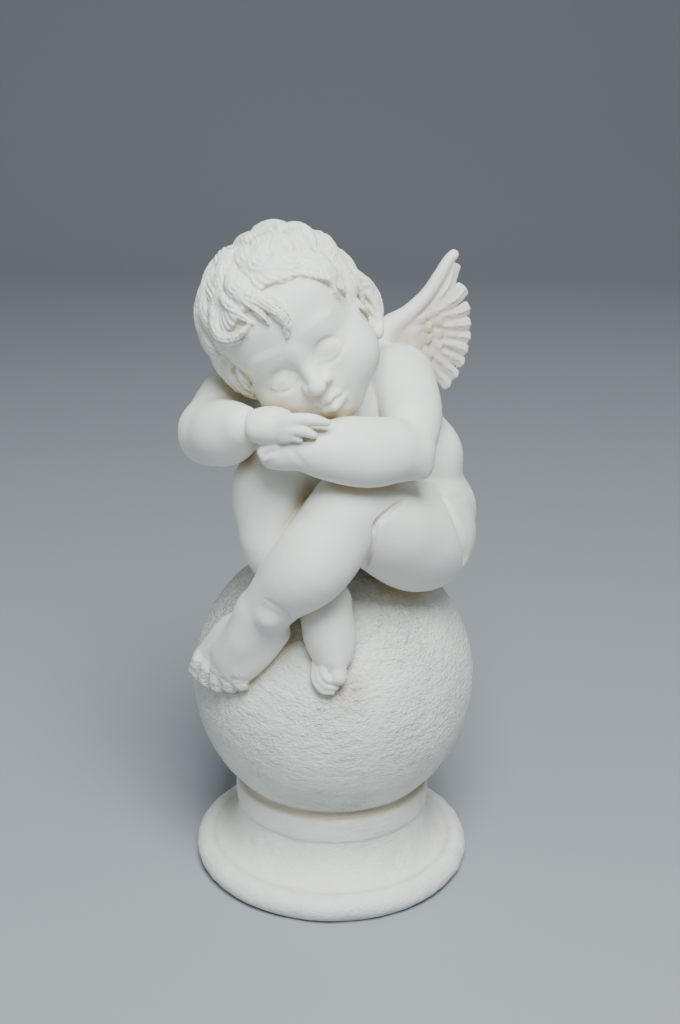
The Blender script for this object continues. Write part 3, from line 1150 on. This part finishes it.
def cast_stone():
    """White cast stone: matt, faintly mottled, cream in its hollows, crackled on the ball and the plinth."""
    shader = Shader("white_cast_stone")
    place = shader.node("TexCoord").outputs["Object"]
    hollow = shader.node("Attribute", attribute_name="hollow").outputs["Fac"]
    rough = shader.node("Attribute", attribute_name="rough_skin").outputs["Fac"]

    def field(scale, detail, roughness):
        made = shader.node("TexNoise", Scale=scale, Detail=detail, Roughness=roughness)
        shader.join(place, made.inputs["Vector"])
        return made.outputs["Fac"]

    def ranged(source, from_min, from_max, to_min, to_max):
        made = shader.node("MapRange", From_Min=from_min, From_Max=from_max, To_Min=to_min, To_Max=to_max)
        shader.join(source, made.inputs["Value"])
        return made.outputs["Result"]

    def times(first, second):
        made = shader.node("Math", operation="MULTIPLY")
        shader.join(first, made.inputs[0])
        shader.join(second, made.inputs[1])
        return made.outputs[0]

    def blended(share, under, colour):
        made = shader.node("Mix", data_type="RGBA")
        made.inputs[7].default_value = colour
        shader.join(share, made.inputs[0])
        shader.join(under, made.inputs[6])
        return made.outputs[2]

    # colour
    mottle = shader.node("ValToRGB")
    for element, position, colour in zip(mottle.color_ramp.elements, (0.3, 0.7), (PALE_STONE, WHITE_STONE)):
        element.position = position
        element.color = colour
    shader.join(field(38, 3, 0.55), mottle.inputs["Fac"])
    cream = blended(ranged(hollow, 0.16, 0.75, 0.0, 0.85), mottle.outputs["Color"], HOLLOW_CREAM)
    stain = shader.node("Attribute", attribute_name="stain").outputs["Fac"]
    blotches = times(stain, ranged(field(90, 4, 0.6), 0.3, 0.7, 0.2, 1.0))
    shader.join(blended(blotches, cream, STAIN_TAN), shader.principled.inputs["Base Color"])

    # gloss
    polish = shader.node("Math", operation="MULTIPLY_ADD")
    polish.inputs[1].default_value = -0.14
    shader.join(rough, polish.inputs[0])
    shader.join(ranged(field(120, 2, 0.5), 0.3, 0.7, 0.50, 0.64), polish.inputs[2])
    shader.join(polish.outputs[0], shader.principled.inputs["Roughness"])
    shader.principled.inputs["Specular IOR Level"].default_value = 0.45

    # grain everywhere, and fine crackle where the skin is rough
    grain = shader.node("Bump", Strength=0.10, Distance=0.0002)
    shader.join(field(1400, 2, 0.6), grain.inputs["Height"])
    strength = times(rough, ranged(field(24, 2, 0.5), 0.35, 0.62, 0.5, 1.0))

    def leather(stretched, detail, distortion, height, under):
        """Bumps of this height in metres, on top of the normal that is handed in."""
        spread = shader.node("Mapping")
        spread.inputs["Scale"].default_value = stretched
        shader.join(place, spread.inputs["Vector"])
        made = shader.node("TexNoise", Scale=1.0, Detail=detail, Roughness=0.62, Distortion=distortion)
        shader.join(spread.outputs["Vector"], made.inputs["Vector"])
        bump = shader.node("Bump", Distance=height)
        shader.join(strength, bump.inputs["Strength"])
        shader.join(made.outputs["Fac"], bump.inputs["Height"])
        shader.join(under, bump.inputs["Normal"])
        return bump.outputs["Normal"]

    lumps = leather((150, 150, 220), 2, 0.3, 0.0026, grain.outputs["Normal"])
    crackle = leather((360, 360, 560), 4, 0.6, 0.0030, lumps)
    shader.join(crackle, shader.principled.inputs["Normal"])
    return shader.material


# The camera's height over the floor, distance and tilt were fitted to the plinth's rings in the photograph
CAMERA_PLACE = (0.0023, -0.8053, 0.5178)
CAMERA_DOWN = math.radians(20.17)
CAMERA_ROLL = math.radians(0.87)
FOCAL_PIXELS = 1500
IMAGE_HEIGHT = 1024
SENSOR = 36


def camera():
    """The camera of the photograph."""
    lens = bpy.data.cameras.new("camera")
    lens.sensor_width = SENSOR
    lens.lens = FOCAL_PIXELS * SENSOR / IMAGE_HEIGHT
    eye = bpy.data.objects.new("camera", lens)
    bpy.context.scene.collection.objects.link(eye)
    right = Vector((1, 0, 0))
    upright = Vector((0, math.sin(CAMERA_DOWN), math.cos(CAMERA_DOWN)))
    back = right.cross(upright)
    rolled = Matrix.Rotation(CAMERA_ROLL, 3, back)
    turn_to = Matrix((rolled @ right, rolled @ upright, back)).transposed().to_4x4()
    eye.matrix_world = Matrix.Translation(CAMERA_PLACE) @ turn_to
    bpy.context.scene.camera = eye


def light(name, place, size, power, colour):
    """A soft square light at a place, aimed at the middle of the statue."""
    lamp = bpy.data.lights.new(name, "AREA")
    lamp.size = size
    lamp.energy = power
    lamp.color = colour
    thing = bpy.data.objects.new(name, lamp)
    thing.location = place
    aim = LIGHT_AIM - Vector(place)
    thing.rotation_euler = aim.to_track_quat("-Z", "Y").to_euler()
    bpy.context.scene.collection.objects.link(thing)


LIGHT_AIM = Vector((0, 0, 0.2))

# Each light's name, place, size in metres, power in watts and colour
LIGHTS = (("key", (0.14, -0.90, 1.55), 0.75, 52, (0.935, 0.99, 1.0)),
          ("fill", (-1.5, -1.0, 0.9), 1.4, 5, (0.88, 1.0, 0.99)),
          ("rim", (0.9, 1.3, 1.3), 0.8, 2.5, (0.95, 0.98, 1.0)))
FLOOR_GREY = (0.31, 0.33, 0.36, 1)
WORLD_GREY = (0.80, 0.81, 0.81, 1)
WORLD_STRENGTH = 0.23


def studio():
    """A pale floor that curves up behind, a big light over the camera and weaker ones beside and behind."""
    steps = 24
    depth, bend = 3.0, 1.2
    profile = [(-3.0, 0), (depth - bend, 0)]
    for step in range(1, steps + 1):
        angle = math.radians(90 * step / steps)
        profile.append((depth - bend + bend * math.sin(angle), bend * (1 - math.cos(angle))))
    profile.append((depth, 4.0))
    half = 5.0
    points = [(side * half, y, z) for y, z in profile for side in (-1, 1)]
    faces = [(2 * i, 2 * i + 1, 2 * i + 3, 2 * i + 2) for i in range(len(profile) - 1)]
    mesh = bpy.data.meshes.new("studio_floor")
    mesh.from_pydata(points, [], faces)
    mesh.shade_smooth()
    floor = bpy.data.objects.new("studio_floor", mesh)
    bpy.context.scene.collection.objects.link(floor)
    shader = Shader("studio_floor")
    shader.principled.inputs["Base Color"].default_value = FLOOR_GREY
    shader.principled.inputs["Roughness"].default_value = 0.9
    mesh.materials.append(shader.material)
    for name, place, size, power, colour in LIGHTS:
        light(name, place, size, power, colour)
    world = bpy.data.worlds.new("studio")
    world.use_nodes = True
    backdrop = world.node_tree.nodes["Background"]
    backdrop.inputs["Color"].default_value = WORLD_GREY
    backdrop.inputs["Strength"].default_value = WORLD_STRENGTH
    bpy.context.scene.world = world


statue = cast_statue()
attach(statue, "root")
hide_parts(NODE)
camera()
studio()
